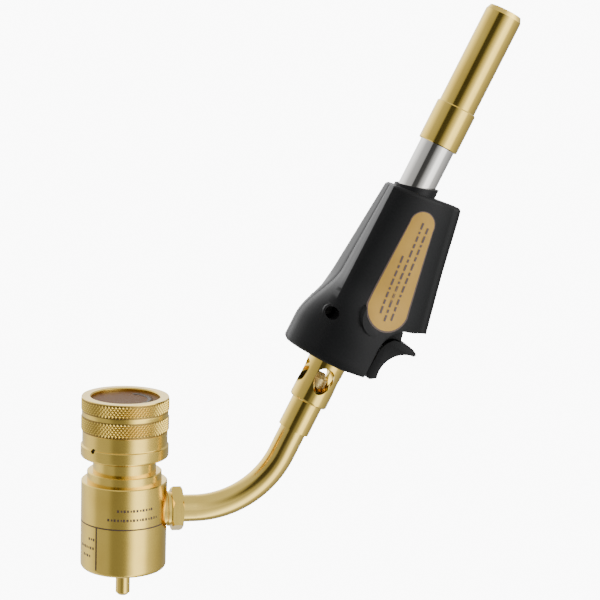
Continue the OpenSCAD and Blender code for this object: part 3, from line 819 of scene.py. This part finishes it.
def case_solid(name, inset, low, high):
    """The housing's outside, or with an inset its inside, as one closed solid."""
    bm = bmesh.new()
    rows = []
    heights = [mix(low, high, i / CASE_ROWS) for i in range(CASE_ROWS + 1)]
    if inset == 0:
        heights = ([0, 0.25, 0.7, LOW_ROUND] + heights[2:-1]
                   + [CASE_H - TOP_ROUND, CASE_H - 0.35, CASE_H])
    for u in heights:
        edge = 0.0
        if inset == 0:
            edge = (max(0.0, LOW_ROUND - u) ** 2 * 0.65
                    + max(0.0, u - CASE_H + TOP_ROUND) ** 2 * 0.9)
        half = half_section(u, inset + edge)
        full = half + [(v, -y) for v, y in half[-2:0:-1]]
        # The top slopes up to the front, and so does the bottom rim, by less
        rise = TOP_RISE * smooth((u - 34) / 30) ** 2
        tuck = RIM_RISE * (1 - smooth(u / 16))
        rows.append([bm.verts.new((v * MM, y * MM, (u + rise * (v + 9) / 25
                                                    + tuck * max(0.0, v) / 12) * MM))
                     for v, y in full])
    for a, b in zip(rows, rows[1:]):
        for i in range(len(a)):
            j = (i + 1) % len(a)
            bm.faces.new((a[i], a[j], b[j], b[i]))
    bm.faces.new(rows[0])
    bm.faces.new(rows[-1])
    return new_piece(name, bm)


def rod(name, radius, low, high, place=(0, 0), segments=64, along_y=False):
    """A plain cylinder used to add to or cut the housing."""
    bm = bmesh.new()
    bmesh.ops.create_cone(bm, cap_ends=True, segments=segments, radius1=radius * MM,
                          radius2=radius * MM, depth=(high - low) * MM)
    middle = (low + high) / 2 * MM
    if along_y:
        move = Matrix.Translation((place[0] * MM, middle, place[1] * MM)) @ Matrix.Rotation(
            math.pi / 2, 4, "X")
    else:
        move = Matrix.Translation((place[0] * MM, place[1] * MM, middle))
    return new_piece(name, bm, move)


def prism(name, points, low_y, high_y):
    """An outline in the burner plane, pulled across the housing."""
    bm = bmesh.new()
    near = [bm.verts.new((v * MM, low_y * MM, u * MM)) for v, u in points]
    far = [bm.verts.new((v * MM, high_y * MM, u * MM)) for v, u in points]
    bm.faces.new(near)
    bm.faces.new(far[::-1])
    for i in range(len(points)):
        j = (i + 1) % len(points)
        bm.faces.new((near[i], near[j], far[j], far[i]))
    return new_piece(name, bm)


def arc(center, radius, first, last, step):
    """Points along an arc from one angle to another, about step degrees apart."""
    count = max(1, round(abs(last - first) / step))
    return [(center[0] + radius * math.cos(math.radians(mix(first, last, i / count))),
             center[1] + radius * math.sin(math.radians(mix(first, last, i / count))))
            for i in range(count + 1)]


SCREWS = [(-10.6, 16.3, -1), (11.4, 57.0, 1)]     # the last value is the head's side
POST_R, RECESS_R, SHANK_R = 2.9, 2.2, 1.2
NOSE_R, SEAT_R, MIXER_WAY_R, TUBE_WAY_R = 7.6, 9.4, 6.96, 6.42
case = case_solid("case", 0, 0, CASE_H)
# Nose round the burn tube, its rim cut on a slant
nose = rod("nose", NOSE_R, CASE_H - 8, CASE_H + 6)
cut(nose, prism("slant", [(-20, CASE_H + 0.9), (-8, CASE_H + 0.9), (8, CASE_H + 5.4),
                          (20, CASE_H + 5.4), (20, CASE_H + 20), (-20, CASE_H + 20)],
                -20, 20))
cut(case, nose, "UNION")
# Raised round boss on the near side
boss_bm = bmesh.new()
bmesh.ops.create_cone(boss_bm, cap_ends=True, segments=64, radius1=6.7 * MM,
                      radius2=6.2 * MM, depth=6 * MM)
boss_turn = Vector((0.26, -1.0, 0.14)).normalized().to_track_quat("Z", "Y").to_matrix()
boss_move = Matrix.Translation((3.6 * MM, -13.75 * MM, 21.0 * MM)) @ boss_turn.to_4x4()
boss = new_piece("boss", boss_bm, boss_move)
# The label lies in a gap of the boss
LOW_END, LOW_R = (6.6, 26.2), 8.3
HIGH_END, HIGH_R = (5.1, 57.0), 4.9
run = Vector((HIGH_END[0] - LOW_END[0], HIGH_END[1] - LOW_END[1]))
tilt = math.degrees(math.atan2(run.y, run.x))
splay = math.degrees(math.asin((LOW_R - HIGH_R) / run.length))


def label_outline(grow):
    """Round the lower end, up one side, round the upper end, down the other."""
    return (arc(LOW_END, LOW_R + grow, tilt + 90 + splay, tilt + 270 - splay, 6)
            + arc(HIGH_END, HIGH_R + grow, tilt - 90 - splay, tilt + 90 + splay, 8))


cut(boss, prism("label_gap", label_outline(0.3), -40, 0))
cut(case, boss, "UNION")
cut(case, case_solid("hollow", WALL, WALL, CASE_H - WALL))
for place in SCREWS:
    reach = 12 if place[0] < 0 else 6
    cut(case, rod("post", POST_R, -reach, reach, place, 32, True), "UNION")
cut(case, rod("seat", SEAT_R, 1, 7), "UNION")
opening = ([(9.4, -5), (9.1, 3), (9.2, 10.6)] + arc((20.0, 11.2), 10.8, 175, 112, 5)
           + [(19.6, 21.9), (24.2, 23.4), (40, 23.4), (40, -5)])
cut(case, prism("opening", opening, -30, 30))
cut(case, rod("mixer_way", MIXER_WAY_R, -1, 11))
cut(case, rod("tube_way", TUBE_WAY_R, 8, 80))
for place in SCREWS:
    recess = sorted((place[2] * 4, place[2] * 30))
    shank = sorted((place[2] * 5, -place[2] * 6.2))
    cut(case, rod("recess", RECESS_R, *recess, place, 32, True))
    cut(case, rod("shank_way", SHANK_R, *shank, place, 24, True))

SEAM = 0.06                                   # half the gap between the shells
EDGE_ROUND = 0.28 * MM
for side, name in ((-1, "housing_near"), (1, "housing_far")):
    shell = case.copy()
    shell.data = case.data.copy()
    shell.name = name + "_shell"
    bpy.context.collection.objects.link(shell)
    keep = prism("keep", [(-60, -20), (60, -20), (60, 120), (-60, 120)],
                 *sorted((side * SEAM, side * 40)))
    cut(shell, keep, "INTERSECT")
    clean = bmesh.new()
    clean.from_mesh(shell.data)
    bmesh.ops.remove_doubles(clean, verts=clean.verts, dist=0.01 * MM)
    bmesh.ops.transform(clean, matrix=case_frame, verts=clean.verts)
    clean.to_mesh(shell.data)
    clean.free()
    shell.data.shade_smooth()
    round_off = shell.modifiers.new("edges", "BEVEL")
    round_off.width = EDGE_ROUND
    round_off.segments = 2
    round_off.limit_method = "ANGLE"
    round_off.angle_limit = math.radians(38)
    round_off.use_clamp_overlap = True
    bake(shell)
    shell.data.set_sharp_from_angle(angle=math.radians(28))
    shell.data.materials.clear()
    shell.data.materials.append(plastic)
    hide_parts(name)
    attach(shell, "burner_arm")
    if side < 0:
        near_shell = shell
bpy.data.objects.remove(case)

# ---- Trigger ----
# A crescent of the same plastic, with a rounded finger face.  It slides in the
# opening on a square stem and is pushed back by a wire spring.
pressed_coil("trigger_spring", "burner_arm")
TRIGGER_HALF = 6.2
trigger_outline = ([(12.7, 1.6)] + arc((22.2, 9.4), 9.2, 184, 128, 6)
                   + [(18.6, 16.9), (21.5, 16.9), (24.2, 16.5), (25.8, 15.7), (26.3, 14.9),
                      (25.7, 14.1)]
                   + arc((26.6, 4.4), 9.9, 104, 196, 6)
                   + [(15.4, 0.6), (14.7, 0.3), (13.7, 0.4)])
trigger = prism("trigger_button", trigger_outline, -TRIGGER_HALF, TRIGGER_HALF)
stem = bmesh.new()
bmesh.ops.create_cube(stem, size=1.0)
stem_move = (Matrix.Translation((17 * MM, 0, 14 * MM)) @ Matrix.Rotation(
    math.radians(-12), 4, "Y") @ Matrix.Translation((0, 0, 1.3 * MM))
    @ Matrix.Diagonal((6.8 * MM, 6.8 * MM, 8.6 * MM, 1)))
cut(trigger, new_piece("stem", stem, stem_move), "UNION")
soften = trigger.modifiers.new("edges", "BEVEL")
soften.width = 0.75 * MM
soften.segments = 4
soften.limit_method = "ANGLE"
soften.angle_limit = math.radians(40)
bake(trigger)
trigger.data.transform(case_frame)
trigger.data.set_sharp_from_angle(angle=math.radians(35))
trigger.data.materials.append(plastic)
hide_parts("trigger")
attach(trigger, "trigger")

# ---- Label ----
# A gold printed sticker with a dark rim, pressed on the near shell.  Rows of dashes
# stand where the real one carries words.
gold = bpy.data.materials.new("gold_sticker")
gold.use_nodes = True
tree = gold.node_tree
shader = tree.nodes["Principled BSDF"]
where = tree.nodes.new("ShaderNodeTexCoord")
mottle = tree.nodes.new("ShaderNodeTexNoise")
mottle.inputs["Scale"].default_value = 120.0
mottle.inputs["Detail"].default_value = 5.0
tree.links.new(where.outputs["Object"], mottle.inputs["Vector"])
tone = tree.nodes.new("ShaderNodeMix")
tone.data_type = "RGBA"
tone.inputs["A"].default_value = (0.22, 0.118, 0.008, 1)
tone.inputs["B"].default_value = (0.31, 0.18, 0.018, 1)
tree.links.new(mottle.outputs["Fac"], tone.inputs["Factor"])
tree.links.new(tone.outputs["Result"], shader.inputs["Base Color"])
shader.inputs["Metallic"].default_value = 0.35
shader.inputs["Roughness"].default_value = 0.42

surface = BVHTree.FromObject(near_shell, bpy.context.evaluated_depsgraph_get())


def on_case(v, u, lift):
    """The point of the near shell's outside over (v, u), raised by lift, in metres."""
    start = case_frame @ Vector((v * MM, -40 * MM, u * MM))
    hit = surface.ray_cast(start, Vector((0, 1, 0)))[0]
    return hit - Vector((0, 1, 0)) * lift * MM


label_edge = label_outline(0.0)
dense = []
for a, b in zip(label_edge, label_edge[1:] + label_edge[:1]):
    pieces = max(1, int(math.dist(a, b) / 1.2))
    dense += [tuple(mix(p, q, i / pieces) for p, q in zip(a, b)) for i in range(pieces)]


def toward_spine(point, share):
    """Moves an outline point towards the nearest point of the label's middle line."""
    p = Vector(point) - Vector(LOW_END)
    t = max(0.0, min(1.0, p.dot(run) / run.length_squared))
    spine = Vector(LOW_END) + run * t
    return tuple(mix(point[i], spine[i], share) for i in range(2))


label = bmesh.new()
rings = []
LABEL_SHARES = (0.075, 0.3, 0.55, 0.8, 0.97)  # rings towards the middle; the first is the rim
for share, lift in [(0.0, 0.02), (0.0, 0.12)] + [(s, 0.13) for s in LABEL_SHARES]:
    rings.append([label.verts.new(on_case(*toward_spine(p, share), lift)) for p in dense])
for number, (a, b) in enumerate(zip(rings, rings[1:])):
    for i in range(len(a)):
        j = (i + 1) % len(a)
        face = label.faces.new((a[i], a[j], b[j], b[i]))
        face.material_index = 1 if number < 2 else 0
label.faces.new(rings[-1])
label_piece = new_piece("housing_label", label, smooth_angle=50)
label_piece.data.materials.append(gold)
label_piece.data.materials.append(ink)
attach(label_piece, "burner_arm")

DASH_LIFT, DASH_WIDTH, WORD_GAP = 0.30, 0.75, 0.8
words = bmesh.new()


def label_dash(along, across, length, width):
    """A dash on the label, running along its middle line."""
    way = run.normalized()
    side = Vector((way.y, -way.x))
    middle = Vector(LOW_END) + way * along + side * across
    corners = []
    for s, t in ((-1, -1), (1, -1), (1, 1), (-1, 1)):
        p = middle + way * s * length / 2 + side * t * width / 2
        corners.append(words.verts.new(on_case(p.x, p.y, DASH_LIFT)))
    words.faces.new(corners)


WORDS = [2.2, 1.2, 2.6, 1.6, 2.0, 0.9, 2.4]
for across, first, last in ((-2.4, -2.5, 17), (0.0, -4.5, 31), (2.4, -3.5, 29)):
    along, index = first, abs(int(across))
    while along < last:
        length = WORDS[index % len(WORDS)]
        label_dash(along + length / 2, across, length, DASH_WIDTH)
        along += length + WORD_GAP
        index += 1
words_piece = new_piece("label_dashes", words)
words_piece.data.materials.append(ink)
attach(words_piece, "burner_arm")
